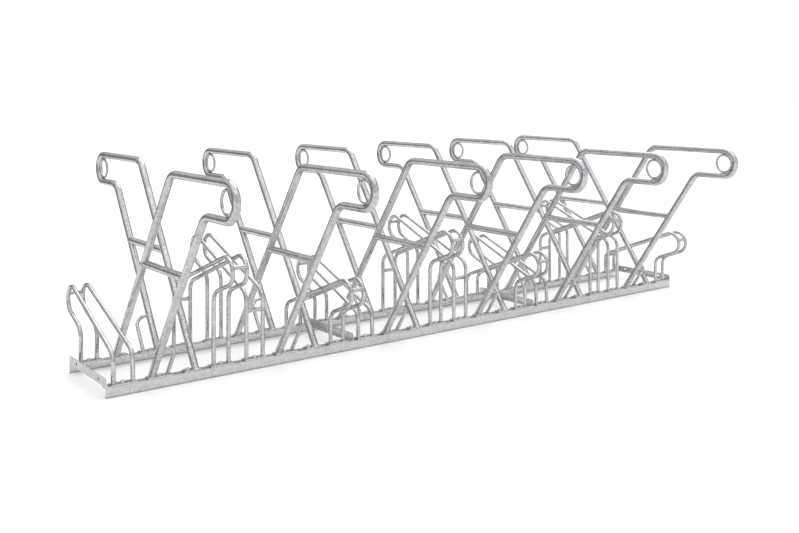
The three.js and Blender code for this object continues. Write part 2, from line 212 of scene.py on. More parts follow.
# Stations round a bend that turns clockwise, seen with y to the right and z up
def bend(centre_y, centre_z, radius, start, end):
    steps = max(2, math.ceil(abs(end - start) / TURN_STEP))
    stations = []
    for step in range(steps + 1):
        heading = start + (end - start) * step / steps
        y = centre_y - radius * math.sin(heading)
        z = centre_z + radius * math.cos(heading)
        stations.append(station(y, z, heading))
    return stations


# Stations round the bend at a corner, where two straight stretches would meet
def corner(y, z, radius, start, end):
    distance = radius / math.cos((start - end) / 2)
    to_centre = (start + end) / 2 - math.pi / 2
    centre_y = y + distance * math.cos(to_centre)
    centre_z = z + distance * math.sin(to_centre)
    return bend(centre_y, centre_z, radius, start, end)


# The same for a bend that turns the other way
def counter_corner(y, z, radius, start, end):
    distance = radius / math.cos((end - start) / 2)
    to_centre = (start + end) / 2 + math.pi / 2
    centre_y = y + distance * math.cos(to_centre)
    centre_z = z + distance * math.sin(to_centre)
    return bend(centre_y, centre_z, -radius, start, end)


# Where a leg's centreline is at a height, given where it meets its plate's top
def leg_y(foot_y, z):
    return foot_y + (z - PLATE_TOP_Z) * math.tan(FRAME_LEAN)


# Meshes as lists of points and faces

def join_rings(rings, closed=False):
    points = [point for ring in rings for point in ring]
    sides = len(rings[0])
    count = len(rings)
    faces = []
    for index in range(count if closed else count - 1):
        this = index * sides
        following = ((index + 1) % count) * sides
        for side in range(sides):
            after = (side + 1) % sides
            faces.append((this + side, this + after, following + after, following + side))
    if not closed:
        faces.append(tuple(reversed(range(sides))))
        faces.append(tuple(range((count - 1) * sides, count * sides)))
    return points, faces


def merge(*shapes):
    points = []
    faces = []
    for shape_points, shape_faces in shapes:
        first = len(points)
        points.extend(shape_points)
        faces.extend(tuple(first + index for index in face) for face in shape_faces)
    return points, faces


def moved(shape, matrix):
    points, faces = shape
    return [matrix @ point for point in points], faces


# The angles of equal steps once round
def full_turn(steps):
    return [2 * math.pi * step / steps for step in range(steps)]


# A ring of points round a place, in the plane of two axes
def circle(place, radius, side_axis, across, sides):
    return [
        place + radius * (math.cos(angle) * side_axis + math.sin(angle) * across)
        for angle in full_turn(sides)
    ]


# Rings of points for a bar of round section, one at each station
def sweep(stations, radius, sides):
    side_axis = Vector((1, 0, 0))
    return [
        circle(place, radius, side_axis, side_axis.cross(heading), sides)
        for place, heading in stations
    ]


# Slides the points of an end ring along the bar until they lie at a height
def land(ring, heading, z):
    return [point + heading * ((z - point.z) / heading.z) for point in ring]


# A weld bead along a line of points
def bead(points, radius, closed=True):
    count = len(points)
    rings = []
    run = 0.0
    for index, place in enumerate(points):
        before = points[index - 1] if closed or index > 0 else place
        after = points[(index + 1) % count] if closed or index < count - 1 else place
        heading = (after - before).normalized()
        upright = abs(heading.z) >= STEEP_HEADING
        reference = Vector((1, 0, 0)) if upright else Vector((0, 0, 1))
        side_axis = heading.cross(reference).normalized()
        across = side_axis.cross(heading)
        swell = radius * (1 + RIPPLE_SHARE * math.sin(2 * math.pi * run / RIPPLE_LENGTH))
        rings.append(circle(place, swell, side_axis, across, BEAD_SIDES))
        run += (after - place).length
    return join_rings(rings, closed)


# The bead round the foot of a bar that leans by an angle in the plane of constant X
def foot_bead(x, y, radius, lean, bead_radius):
    points = []
    for angle in full_turn(BEAD_STEPS):
        along = y + radius / math.cos(lean) * math.sin(angle)
        points.append(Vector((x + radius * math.cos(angle), along, PLATE_TOP_Z)))
    return bead(points, bead_radius)


# Foot plates and bolts

def plate_shape(from_x, to_x, y):
    rings = []
    for z in (RAIL_TOP_Z, PLATE_TOP_Z):
        rings.append([
            Vector((from_x, y - PLATE_WIDTH / 2, z)),
            Vector((to_x, y - PLATE_WIDTH / 2, z)),
            Vector((to_x, y + PLATE_WIDTH / 2, z)),
            Vector((from_x, y + PLATE_WIDTH / 2, z)),
        ])
    return join_rings(rings)


def round_ring(x, y, z, radius):
    return [
        Vector((x + radius * math.cos(angle), y + radius * math.sin(angle), z))
        for angle in full_turn(BOLT_SIDES)
    ]


def hexagon_ring(x, y, z):
    ring = []
    sixth = math.pi / 3
    for angle in full_turn(BOLT_SIDES):
        from_flat = (angle + sixth / 2) % sixth - sixth / 2
        radius = BOLT_FLATS / 2 / math.cos(from_flat)
        ring.append(Vector((x + radius * math.cos(angle), y + radius * math.sin(angle), z)))
    return ring


# A hexagon bolt from the thread's end under the nut up to its head
def bolt_shape(x, y):
    flange_z = RAIL_TOP_Z - RAIL_WALL
    nut_z = flange_z - NUT_HEIGHT
    head_z = PLATE_TOP_Z + BOLT_HEAD_HEIGHT
    rings = []
    for turn in range(THREAD_TURNS, 0, -1):
        z = nut_z - turn * THREAD_PITCH
        rings.append(round_ring(x, y, z, BOLT_RADIUS - THREAD_DEPTH))
        rings.append(round_ring(x, y, z + THREAD_PITCH / 2, BOLT_RADIUS))
    rings.extend([
        round_ring(x, y, nut_z, BOLT_RADIUS - THREAD_DEPTH),
        round_ring(x, y, nut_z, BOLT_FLATS / 2),
        hexagon_ring(x, y, nut_z + BOLT_CHAMFER),
        hexagon_ring(x, y, flange_z),
        round_ring(x, y, flange_z, BOLT_RADIUS),
        round_ring(x, y, PLATE_TOP_Z, BOLT_RADIUS),
        hexagon_ring(x, y, PLATE_TOP_Z),
        hexagon_ring(x, y, head_z - BOLT_CHAMFER),
        round_ring(x, y, head_z, BOLT_FLATS / 2),
    ])
    return join_rings(rings)


# Leaning frame

def frame_shape():
    down = LEG_HEADING - math.pi
    bend_over = corner(
        leg_y(LONG_FOOT_Y, FRAME_TOP_Z), FRAME_TOP_Z, FRAME_BEND_RADIUS, LEG_HEADING, 0)
    nose = bend(FRAME_NOSE_Y, FRAME_NOSE_Z, FRAME_NOSE_RADIUS, 0, -math.pi)
    bend_down = counter_corner(
        leg_y(SHORT_FOOT_Y, FRAME_LOWER_Z), FRAME_LOWER_Z, FRAME_BEND_RADIUS, -math.pi, down)
    stations = [
        station(LONG_FOOT_Y, PLATE_TOP_Z, LEG_HEADING),
        *bend_over,
        *nose,
        *bend_down,
        station(SHORT_FOOT_Y, PLATE_TOP_Z, down),
    ]
    rings = sweep(stations, TUBE_RADIUS, TUBE_SIDES)
    rings[0] = land(rings[0], stations[0][1], PLATE_TOP_Z)
    rings[-1] = land(rings[-1], stations[-1][1], PLATE_TOP_Z)
    feet = [
        foot_bead(0, y, TUBE_RADIUS, FRAME_LEAN, TUBE_BEAD) for y in (LONG_FOOT_Y, SHORT_FOOT_Y)
    ]
    return merge(join_rings(rings), *feet)


# The bead where the rung meets a leg, on the given side of the leg
def rung_bead(foot_y, side):
    centre_y = leg_y(foot_y, RUNG_HEIGHT)
    points = []
    for angle in full_turn(BEAD_STEPS):
        x = TUBE_RADIUS * math.cos(angle)
        z = TUBE_RADIUS * math.sin(angle)
        out = side * math.sqrt(max(0.0, TUBE_RADIUS**2 - x**2))
        y = (z * math.sin(FRAME_LEAN) + out) / math.cos(FRAME_LEAN)
        points.append(Vector((x, centre_y + y, RUNG_HEIGHT + z)))
    return bead(points, ROD_BEAD)


def rung_shape():
    stations = [
        station(leg_y(LONG_FOOT_Y, RUNG_HEIGHT), RUNG_HEIGHT, 0),
        station(leg_y(SHORT_FOOT_Y, RUNG_HEIGHT), RUNG_HEIGHT, 0),
    ]
    bar = join_rings(sweep(stations, TUBE_RADIUS, TUBE_SIDES))
    return merge(bar, rung_bead(LONG_FOOT_Y, 1), rung_bead(SHORT_FOOT_Y, -1))


# Brace, drawn flat with y towards the leg and z along it
def brace_shape():
    rise = (BRACE_BEND_HEIGHT - PLATE_TOP_Z) / math.cos(FRAME_LEAN)
    top = rise + BRACE_BEND_RADIUS
    stations = [
        station(-BRACE_OFFSET, 0, math.pi / 2),
        *bend(BRACE_BEND_RADIUS - BRACE_OFFSET, rise, BRACE_BEND_RADIUS, math.pi / 2, 0),
        station(0, top, 0),
    ]
    to_place = Matrix((
        (0, 1, 0, 0),
        (-math.cos(FRAME_LEAN), 0, math.sin(FRAME_LEAN), SHORT_FOOT_Y),
        (math.sin(FRAME_LEAN), 0, math.cos(FRAME_LEAN), PLATE_TOP_Z),
        (0, 0, 0, 1),
    ))
    rings = sweep(stations, BRACE_RADIUS, ROD_SIDES)
    points = []
    for angle in full_turn(BEAD_STEPS):
        x = BRACE_RADIUS * math.cos(angle)
        y = -math.sqrt(TUBE_RADIUS**2 - x**2)
        points.append(Vector((x, y, top + BRACE_RADIUS * math.sin(angle))))
    top_bead = bead(points, ROD_BEAD)
    bar_points, bar_faces = moved(join_rings(rings), to_place)
    heading = to_place.to_3x3() @ stations[0][1]
    bar_points[:ROD_SIDES] = land(bar_points[:ROD_SIDES], heading, PLATE_TOP_Z)
    foot = foot_bead(-BRACE_OFFSET, SHORT_FOOT_Y, BRACE_RADIUS, FRAME_LEAN, ROD_BEAD)
    return merge((bar_points, bar_faces), moved(top_bead, to_place), foot)


# Lock ring

def ring_shape():
    outer_radius = FRAME_NOSE_RADIUS - TUBE_RADIUS - RING_GAP
    bar_radius = outer_radius - RING_BAR_RADIUS
    stations = bend(FRAME_NOSE_Y, FRAME_NOSE_Z, bar_radius, 0, -2 * math.pi)[:-1]
    ring = join_rings(sweep(stations, RING_BAR_RADIUS, RING_SIDES), closed=True)
    welds = []
    for middle in RING_WELD_ANGLES:
        for x in (-RING_WELD_OFFSET, RING_WELD_OFFSET):
            points = []
            for step in range(RING_WELD_STEPS + 1):
                angle = math.radians(middle + RING_WELD_SPAN * (step / RING_WELD_STEPS - 0.5))
                y = FRAME_NOSE_Y + outer_radius * math.cos(angle)
                z = FRAME_NOSE_Z + outer_radius * math.sin(angle)
                points.append(Vector((x, y, z)))
            welds.append(bead(points, ROD_BEAD, closed=False))
    return merge(ring, *welds)


# Wheel holder

def holder_nose_z(high):
    top = HOLDER_LOW_TOP + (HOLDER_TIER_STEP if high else 0)
    return top - ROD_RADIUS - HOLDER_NOSE_RADIUS


def climb_z(nose_z, post_y, side):
    over_centre = side * HOLDER_NOSE_RADIUS / math.cos(HOLDER_CLIMB)
    return nose_z + over_centre + (post_y - HOLDER_NOSE_Y) * math.tan(HOLDER_CLIMB)


def rod_gap_at(y):
    return ROD_MIDDLE_GAP - 2 * y * math.tan(ROD_TOE_IN)


def rod_shape(high, hand):
    nose_z = holder_nose_z(high)
    back = HOLDER_CLIMB - math.pi
    far_top = climb_z(nose_z, -HOLDER_POST_Y, 1)
    near_top = climb_z(nose_z, HOLDER_POST_Y, -1)
    stations = [
        station(-HOLDER_POST_Y, PLATE_TOP_Z, math.pi / 2),
        *corner(-HOLDER_POST_Y, far_top, HOLDER_BEND_RADIUS, math.pi / 2, HOLDER_CLIMB),
        *bend(HOLDER_NOSE_Y, nose_z, HOLDER_NOSE_RADIUS, HOLDER_CLIMB, back),
        *counter_corner(HOLDER_POST_Y, near_top, HOLDER_BEND_RADIUS, back, -math.pi / 2),
        station(HOLDER_POST_Y, PLATE_TOP_Z, -math.pi / 2),
    ]
    rod = join_rings(sweep(stations, ROD_RADIUS, ROD_SIDES))
    feet = [
        foot_bead(0, y, ROD_RADIUS, 0, ROD_BEAD) for y in (-HOLDER_POST_Y, HOLDER_POST_Y)
    ]
    to_hand = Matrix.Translation((hand * ROD_MIDDLE_GAP / 2, 0, 0))
    to_hand @= Matrix.Rotation(hand * ROD_TOE_IN, 4, "Z")
    return moved(merge(rod, *feet), to_hand)


# A short level bar across the holder with a bead at each end
def link_shape(half_length, y, z):
    rings = []
    for x in (-half_length, half_length):
        ring = []
        for angle in full_turn(ROD_SIDES):
            along = y + LINK_RADIUS * math.cos(angle)
            ring.append(Vector((x, along, z + LINK_RADIUS * math.sin(angle))))
        rings.append(ring)
    beads = []
    for side in (-1, 1):
        points = []
        for angle in full_turn(BEAD_STEPS):
            up = LINK_RADIUS * math.sin(angle)
            depth = ROD_RADIUS - math.sqrt(ROD_RADIUS**2 - up**2)
            x = side * (half_length - ROD_RADIUS + depth)
            points.append(Vector((x, y + LINK_RADIUS * math.cos(angle), z + up)))
        beads.append(bead(points, SMALL_BEAD))
    return merge(join_rings(rings), *beads)


def nose_link_shape(high):
    y = HOLDER_NOSE_Y + HOLDER_NOSE_RADIUS * math.cos(NOSE_LINK_ANGLE)
    z = holder_nose_z(high) + HOLDER_NOSE_RADIUS * math.sin(NOSE_LINK_ANGLE)
    return link_shape(rod_gap_at(y) / 2, y, z)


def post_link_shape():
    far_top = climb_z(holder_nose_z(True), -HOLDER_POST_Y, 1)
    bend_length = HOLDER_BEND_RADIUS * math.tan((math.pi / 2 - HOLDER_CLIMB) / 2)
    return link_shape(HOLDER_FAR_GAP / 2, -HOLDER_POST_Y, far_top - bend_length - POST_LINK_DROP)


# Angle steel, drawn with the outer corner of its section at 0, 0

# Points along an arc, with its start and end in degrees
def arc(centre, radius, start, end, steps):
    points = []
    for step in range(steps + 1):
        angle = math.radians(start + (end - start) * step / steps)
        points.append((centre[0] + radius * math.cos(angle), centre[1] + radius * math.sin(angle)))
    return points


def angle_outline(upright, level, wall, root, toe):
    inner = wall + root
    return [
        (0, 0),
        (level, 0),
        *arc((level - toe, wall - toe), toe, 0, 90, TOE_STEPS),
        *arc((inner, inner), root, 270, 180, ROOT_STEPS),
        *arc((wall - toe, upright - toe), toe, 0, 90, TOE_STEPS),
        (0, upright),
    ]


# A bar of that section along its own Z, centred
def angle_bar(outline, length):
    rings = [[Vector((x, y, z)) for x, y in outline] for z in (-length / 2, length / 2)]
    return join_rings(rings)


def rail_shape():
    outline = angle_outline(RAIL_LEG, RAIL_LEG, RAIL_WALL, RAIL_ROOT_RADIUS, RAIL_TOE_RADIUS)
    to_place = Matrix((
        (0, 0, 1, 0),
        (-1, 0, 0, RAIL_FACE_Y),
        (0, -1, 0, RAIL_TOP_Z),
        (0, 0, 0, 1),
    ))
    return moved(angle_bar(outline, RAIL_LENGTH), to_place)


def member_shape():
    outline = angle_outline(
        MEMBER_HEIGHT, MEMBER_FOOT, MEMBER_WALL, MEMBER_ROOT_RADIUS, MEMBER_TOE_RADIUS)
    to_place = Matrix((
        (1, 0, 0, 0),
        (0, 0, -1, 0),
        (0, 1, 0, RAIL_TOP_Z),
        (0, 0, 0, 1),
    ))
    return moved(angle_bar(outline, BASE_DEPTH), to_place)


# Cutting shapes of a cross member, drawn out along X from its middle plane to both sides

def through_member(outline):
    rings = [
        [Vector((x, y, RAIL_TOP_Z + z)) for y, z in outline] for x in (-CUT_REACH, CUT_REACH)
    ]
    return join_rings(rings)


def member_side_view():
    end = BASE_DEPTH / 2
    radius = MEMBER_CORNER_RADIUS
    top = MEMBER_HEIGHT - radius
    outline = [
        (-end, 0),
        (end, 0),
        *arc((end - radius, top), radius, 0, 90, CORNER_STEPS),
        *arc((radius - end, top), radius, 90, 180, CORNER_STEPS),
    ]
    return through_member(outline)


def member_hole(side):
    centre = (side * MEMBER_HOLE_SPACING / 2, MEMBER_HEIGHT / 2)
    return through_member(arc(centre, MEMBER_HOLE_RADIUS, 0, 360, HOLE_SIDES)[:-1])


# Materials

def add_node(tree, kind, **settings):
    node = tree.nodes.new(kind)
    for name, value in settings.items():
        setattr(node, name, value)
    return node


def multiply_add(tree, value, factor, extra):
    node = add_node(tree, "ShaderNodeMath", operation="MULTIPLY_ADD")
    tree.links.new(value, node.inputs[0])
    node.inputs[1].default_value = factor
    if isinstance(extra, float):
        node.inputs[2].default_value = extra
    else:
        tree.links.new(extra, node.inputs[2])
    return node.outputs[0]


def add_noise(tree, vector, frequency, detail):
    noise = add_node(tree, "ShaderNodeTexNoise")
    noise.inputs["Scale"].default_value = frequency
    noise.inputs["Detail"].default_value = detail
    tree.links.new(vector, noise.inputs["Vector"])
    return noise


def clear_tree(holder):
    holder.use_nodes = True
    holder.node_tree.nodes.clear()
    return holder.node_tree


def grey(shade):
    return shade, shade, shade, 1


# Zinc coating. Frequencies are per metre.
WARP_LENGTH = 3  # of the waves that bend the crystals' edges, in crystals
WARP_REACH = 1.5  # how far they bend them, in crystals
WARP_DETAIL = 2
CLOUD_FREQUENCY = 14
CLOUD_DETAIL = 5
CLOUD_ROUGHNESS = 0.6
GRAIN_FREQUENCY = 420
GRAIN_DETAIL = 3
ROLLED_GRAIN = 0.08  # frequency along X of the grain on rolled steel, as a share of the rest

# How much each pattern adds to the tone, and the sums that give the dark and the light end
CRYSTAL_TONE = 0.40
CLOUD_TONE = 0.70
GRAIN_TONE = 0.25
DARK_SUM = 0.375
LIGHT_SUM = 0.875

# How much the patterns change the roughness and the height
GLOSS_CHANGE = 0.10
CRYSTAL_RELIEF = 0.35
GRAIN_RELIEF = 0.5
BUMP_STRENGTH = 0.10
BUMP_DISTANCE = 0.4 * MM

# Painted contact shadow: every zinc is darkened near the floor, down to this share at the floor
# itself
CONTACT_SHADE_HEIGHT = 9 * MM  # of the painted contact shadow: below this height the colour darkens towards the floor
CONTACT_SHADE_FACTOR = 0.55


# Hot-dip galvanised steel: zinc crystals, soft clouds and a fine grain, with painted contact shadow
# that darkens the colour near the floor.
# Dark, light and edge are shades of grey, the last of them the metal's tint at a grazing view.
def galvanised(name, dark, light, spangle_size, roughness, edge, grain_share=1.0):
    material = bpy.data.materials.new(name)
    tree = clear_tree(material)
    output = add_node(tree, "ShaderNodeOutputMaterial")
    shader = add_node(tree, "ShaderNodeBsdfPrincipled")
    tree.links.new(shader.outputs["BSDF"], output.inputs["Surface"])
    coordinates = add_node(tree, "ShaderNodeTexCoord").outputs["Object"]

    warp = add_noise(tree, coordinates, 1 / (WARP_LENGTH * spangle_size), WARP_DETAIL)
    bent = add_node(tree, "ShaderNodeVectorMath", operation="MULTIPLY_ADD")
    tree.links.new(warp.outputs["Color"], bent.inputs[0])
    bent.inputs[1].default_value = (WARP_REACH * spangle_size,) * 3
    tree.links.new(coordinates, bent.inputs[2])

    crystals = add_node(tree, "ShaderNodeTexVoronoi")
    crystals.inputs["Scale"].default_value = 1 / spangle_size
    tree.links.new(bent.outputs[0], crystals.inputs["Vector"])
    crystal = add_node(tree, "ShaderNodeSeparateColor")
    tree.links.new(crystals.outputs["Color"], crystal.inputs[0])

    clouds = add_noise(tree, coordinates, CLOUD_FREQUENCY, CLOUD_DETAIL)
    clouds.inputs["Roughness"].default_value = CLOUD_ROUGHNESS

    drawn = add_node(tree, "ShaderNodeVectorMath", operation="MULTIPLY")
    tree.links.new(coordinates, drawn.inputs[0])
    drawn.inputs[1].default_value = (grain_share, 1, 1)
    grain = add_noise(tree, drawn.outputs[0], GRAIN_FREQUENCY, GRAIN_DETAIL)

    mottle = multiply_add(tree, crystal.outputs["Red"], CRYSTAL_TONE, 0.0)
    mottle = multiply_add(tree, clouds.outputs["Fac"], CLOUD_TONE, mottle)
    mottle = multiply_add(tree, grain.outputs["Fac"], GRAIN_TONE, mottle)
    ramp = add_node(tree, "ShaderNodeValToRGB")
    ramp.color_ramp.elements[0].position = DARK_SUM
    ramp.color_ramp.elements[0].color = grey(dark)
    ramp.color_ramp.elements[1].position = LIGHT_SUM
    ramp.color_ramp.elements[1].color = grey(light)
    tree.links.new(mottle, ramp.inputs["Fac"])

    # Painted contact shadow: the colour is darkened close to the floor, by height above it
    split = add_node(tree, "ShaderNodeSeparateXYZ")
    tree.links.new(coordinates, split.inputs[0])
    contact_shade = add_node(tree, "ShaderNodeMapRange", interpolation_type="SMOOTHSTEP")
    contact_shade.inputs["From Min"].default_value = 0
    contact_shade.inputs["From Max"].default_value = CONTACT_SHADE_HEIGHT
    contact_shade.inputs["To Min"].default_value = CONTACT_SHADE_FACTOR
    contact_shade.inputs["To Max"].default_value = 1
    tree.links.new(split.outputs["Z"], contact_shade.inputs["Value"])
    shaded = add_node(tree, "ShaderNodeVectorMath", operation="SCALE")
    tree.links.new(ramp.outputs["Color"], shaded.inputs[0])
    tree.links.new(contact_shade.outputs["Result"], shaded.inputs["Scale"])
    tree.links.new(shaded.outputs[0], shader.inputs["Base Color"])

    gloss = multiply_add(tree, crystal.outputs["Green"], GLOSS_CHANGE, roughness - GLOSS_CHANGE)
    gloss = multiply_add(tree, clouds.outputs["Fac"], GLOSS_CHANGE, gloss)
    tree.links.new(gloss, shader.inputs["Roughness"])
    shader.inputs["Metallic"].default_value = 1.0
    shader.inputs["Specular Tint"].default_value = grey(edge)

    height = multiply_add(tree, crystal.outputs["Blue"], CRYSTAL_RELIEF, 0.0)
    height = multiply_add(tree, grain.outputs["Fac"], GRAIN_RELIEF, height)
    bump = add_node(tree, "ShaderNodeBump")
    bump.inputs["Strength"].default_value = BUMP_STRENGTH
    bump.inputs["Distance"].default_value = BUMP_DISTANCE
    tree.links.new(height, bump.inputs["Height"])
    tree.links.new(bump.outputs["Normal"], shader.inputs["Normal"])
    return material


MATERIALS = {
    "galvanised_angle": galvanised(
        "galvanised_angle", 0.51, 0.65, 7 * MM, 0.30, 0.60, ROLLED_GRAIN),
    "galvanised_tube": galvanised("galvanised_tube", 0.36, 0.60, 6 * MM, 0.10, 0.92),
    "galvanised_rod": galvanised("galvanised_rod", 0.35, 0.60, 5 * MM, 0.10, 0.75),
}
# A lighter copy of the angle's zinc, painted light, for the back rail and the end member
PAINTED_LIGHT_ZINC = galvanised("painted_light_zinc", 0.62, 0.77, 7 * MM, 0.30, 0.60, ROLLED_GRAIN)
# A darker, rougher copy of the angle's zinc, painted shade, for the middle cross members
PAINTED_SHADE_ZINC = galvanised("painted_shade_zinc", 0.42, 0.78, 7 * MM, 0.40, 0.40)
BOLT_ZINC = galvanised("bolt_zinc", 0.56, 0.78, 4 * MM, 0.45, 0.60)
# A near black zinc for the walls of the members' holes: painted shade
BORE_PAINTED_SHADE = galvanised("bore_painted_shade", 0.06, 0.12, 7 * MM, 0.60, 0.50)


# Pieces

def add_piece(name, shape, matrix, slot, *nodes):
    mesh = new_mesh(name, *moved(shape, matrix))
    mesh.polygons.foreach_set("use_smooth", [True] * len(mesh.polygons))
    mesh.set_sharp_from_angle(angle=SHARP_ANGLE)
    mesh.materials.append(MATERIALS[slot])
    piece = add_object(name, mesh)
    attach(piece, BODY)
    if nodes:
        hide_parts(*nodes)
    return piece


def soften_edges(piece):
    bevel = piece.modifiers.new("edge_wear", "BEVEL")
    bevel.width = EDGE_WEAR
    bevel.segments = EDGE_WEAR_STEPS
    bevel.limit_method = "ANGLE"
    bevel.angle_limit = EDGE_WEAR_ANGLE
    bevel.harden_normals = True


# Cuts the piece with a shape, or keeps only what lies inside that shape
def carve(piece, shape, matrix, operation):
    cutter = add_object("cutter", new_mesh("cutter", *moved(shape, matrix)))
    modifier = piece.modifiers.new("carve", "BOOLEAN")
    modifier.object = cutter
    modifier.operation = operation
    modifier.solver = "EXACT"
    bpy.context.view_layer.update()
    evaluated = piece.evaluated_get(bpy.context.evaluated_depsgraph_get())
    carved = bpy.data.meshes.new_from_object(evaluated)
    piece.modifiers.clear()
    piece.data = carved
    bpy.data.objects.remove(cutter)


# Paints shade on the faces inside a cross member's holes, with a near black copy of the zinc
def shade_bores(member):
    member.data.materials.append(BORE_PAINTED_SHADE)
    reach = MEMBER_HOLE_RADIUS + BORE_MARGIN
    for face in member.data.polygons:
        off_y = abs(face.center.y) - MEMBER_HOLE_SPACING / 2
        off_z = face.center.z - RAIL_TOP_Z - MEMBER_HEIGHT / 2
        if math.hypot(off_y, off_z) < reach:
            face.material_index = 1


def add_rails():
    shape = rail_shape()
    for side, angle in (("back", 0), ("front", math.pi)):
        rail = add_piece(
            f"base_rail_{side}", shape, Matrix.Rotation(angle, 4, "Z"), "galvanised_angle",
            f"rail_{side}")
        # The back rail takes the lighter zinc copy: painted light
        if side == "back":
            rail.data.materials[0] = PAINTED_LIGHT_ZINC
        soften_edges(rail)


def add_members():
    shape = member_shape()
    count = BAY_COUNT // MEMBER_BAYS + 1
    for index in range(count):
        first = index == 0
        last = index == count - 1
        x = (index * MEMBER_BAYS - BAY_COUNT / 2) * BAY_LENGTH
        x += (RAIL_END_INSET if first else 0) - (RAIL_END_INSET if last else 0)
        to_place = Matrix.Translation((x, 0, 0)) @ Matrix.Rotation(0 if first else math.pi, 4, "Z")
        member = add_piece(
            f"cross_angle_{index + 1}", shape, to_place, "galvanised_angle",
            f"cross_member_{index + 1}")
        # The end member takes the lighter zinc copy as painted light, the middle ones the darker
        # copy as painted shade
        member.data.materials[0] = PAINTED_LIGHT_ZINC if first else PAINTED_SHADE_ZINC
        carve(member, member_side_view(), to_place, "INTERSECT")
        for side in (-1, 1):
            carve(member, member_hole(side), to_place, "DIFFERENCE")
        shade_bores(member)
        soften_edges(member)


def list_places():
    places = []
    for side in ("back", "front"):
        for bay in range(BAY_COUNT):
            to_place = Matrix.Translation(((bay - (BAY_COUNT - 1) / 2) * BAY_LENGTH, 0, 0))
            to_place @= Matrix.Rotation(0 if side == "back" else math.pi, 4, "Z")
            high = bay % 2 == (1 if side == "back" else 0)
            places.append((f"{side}_{bay + 1}", high, to_place))
    return places


# A foot plate and its bolt, in the coordinates of the frame or holder that stands on it
def add_plate(label, node, to_piece, from_x, to_x, bolt_x, y):
    plate = add_piece(
        f"foot_plate_{label}", plate_shape(from_x, to_x, y), to_piece, "galvanised_angle", node)
    soften_edges(plate)
    bolt = add_piece(f"bolt_{label}", bolt_shape(bolt_x, y), to_piece, "galvanised_rod")
    bolt.data.materials[0] = BOLT_ZINC


def add_places():
    bent_tube = frame_shape()
    rung = rung_shape()
    brace = brace_shape()
    ring = ring_shape()
    rods = {
        (high, hand): rod_shape(high, hand) for high in (False, True) for hand in (-1, 1)
    }
    nose_links = {high: nose_link_shape(high) for high in (False, True)}
    post_link = post_link_shape()
    for label, high, to_place in list_places():
        to_frame = to_place @ Matrix.Translation((FRAME_OFFSET, 0, 0))
        frame_node = f"lean_frame_{label}"
        add_piece(f"bent_tube_{label}", bent_tube, to_frame, "galvanised_tube", frame_node)
        add_piece(f"rung_{label}", rung, to_frame, "galvanised_tube", frame_node)
        add_piece(f"brace_{label}", brace, to_frame, "galvanised_rod", frame_node)
        add_piece(f"ring_{label}", ring, to_frame, "galvanised_rod", f"lock_ring_{label}")
        bolt_x = -BRACE_OFFSET / 2
        add_plate(
            f"{label}_long_leg", frame_node, to_frame, bolt_x - PLATE_MARGIN, PLATE_MARGIN,
            bolt_x, LONG_FOOT_Y)
        add_plate(
            f"{label}_short_leg", frame_node, to_frame, -BRACE_OFFSET - PLATE_MARGIN, PLATE_MARGIN,
            bolt_x, SHORT_FOOT_Y)
        to_holder = to_place @ Matrix.Translation((-HOLDER_OFFSET, 0, 0))
        for hand, side in ((-1, "left"), (1, "right")):
            add_piece(
                f"rod_{label}_{side}", rods[high, hand], to_holder, "galvanised_rod",
                f"wheel_rod_{label}_{side}")
        add_piece(
            f"nose_link_{label}", nose_links[high], to_holder, "galvanised_rod",
            f"wheel_rod_{label}_left")
        for end, y in (("far", -HOLDER_POST_Y), ("near", HOLDER_POST_Y)):
            add_plate(
                f"{label}_{end}_posts", f"wheel_rod_{label}_left", to_holder,
                -HOLDER_PLATE_LENGTH / 2, HOLDER_PLATE_LENGTH / 2, 0, y)
        if high:
            add_piece(
                f"far_link_{label}", post_link, to_holder, "galvanised_rod",
                f"post_link_{label}")


# Floor and light

FLOOR_HALF = 60.0
FLOOR_COLOUR = (0.674, 0.66, 0.646, 1)
FLOOR_LIFT = 0.31  # added for the camera and for reflections, so that the lit floor is white


def add_floor():
    corners = [
        (-FLOOR_HALF, -FLOOR_HALF, 0),
        (FLOOR_HALF, -FLOOR_HALF, 0),
        (FLOOR_HALF, FLOOR_HALF, 0),
        (-FLOOR_HALF, FLOOR_HALF, 0),
    ]
    mesh = new_mesh("floor", corners, [(0, 1, 2, 3)])
    material = bpy.data.materials.new("floor")
    tree = clear_tree(material)
    output = add_node(tree, "ShaderNodeOutputMaterial")
    diffuse = add_node(tree, "ShaderNodeBsdfDiffuse")
    diffuse.inputs["Color"].default_value = FLOOR_COLOUR
    paths = add_node(tree, "ShaderNodeLightPath")
    seen = add_node(tree, "ShaderNodeMath", operation="ADD")
    tree.links.new(paths.outputs["Is Camera Ray"], seen.inputs[0])
    tree.links.new(paths.outputs["Is Glossy Ray"], seen.inputs[1])
    seen_all = add_node(tree, "ShaderNodeMath", operation="ADD", use_clamp=True)
    tree.links.new(seen.outputs[0], seen_all.inputs[0])
    tree.links.new(paths.outputs["Is Transmission Ray"], seen_all.inputs[1])
    lift = add_node(tree, "ShaderNodeMath", operation="MULTIPLY")
    tree.links.new(seen_all.outputs[0], lift.inputs[0])
    lift.inputs[1].default_value = FLOOR_LIFT
    glow = add_node(tree, "ShaderNodeEmission")
    tree.links.new(lift.outputs[0], glow.inputs["Strength"])
    both = add_node(tree, "ShaderNodeAddShader")
    tree.links.new(diffuse.outputs[0], both.inputs[0])
    tree.links.new(glow.outputs[0], both.inputs[1])
    tree.links.new(both.outputs[0], output.inputs["Surface"])
    mesh.materials.append(material)
    floor = add_object("floor", mesh)


# Dark cards that stand beside and behind the rack, as in a studio, to give the metal its dark lines
CARD_X = 3.5
CARD_Y = 3.2
CARD_HEIGHT = 1.15
CARD_BRIGHTNESS = 0.36


